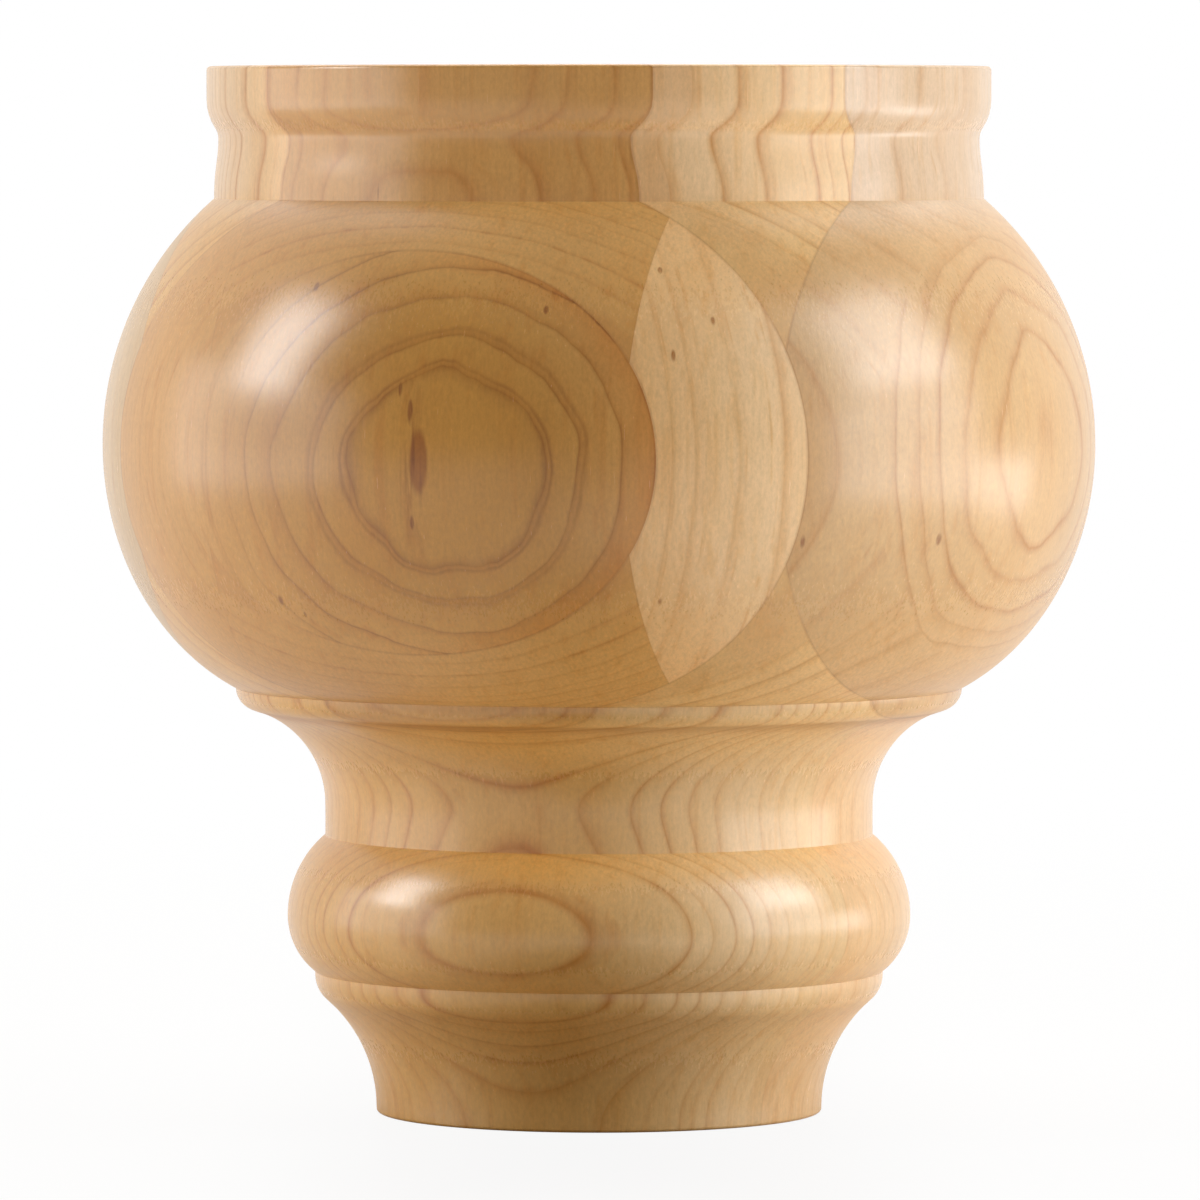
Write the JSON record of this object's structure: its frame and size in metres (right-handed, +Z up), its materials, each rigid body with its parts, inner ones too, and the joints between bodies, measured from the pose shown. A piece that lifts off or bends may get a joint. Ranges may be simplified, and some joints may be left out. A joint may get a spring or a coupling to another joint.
{
  "type": "bun foot",
  "caption": "Turned solid hardwood bun foot: wide banded collar over a full round bulb, a coved neck, a bead and a flared round base. Stands under a cabinet, sofa or chest.",
  "frame": {"origin": "centre of the flat underside, on the floor", "axes": "+Z up along the turning axis, from the floor to the furniture; -Y faces the picture's viewer"},
  "size_m": [0.1445, 0.1444, 0.1524],
  "materials": {
    "maple": "sanded and sealed, clear satin, growth rings and glue lines showing"
  },
  "bodies": {
    "root": {"bun_foot": "maple"}
  },
  "joints": []
}
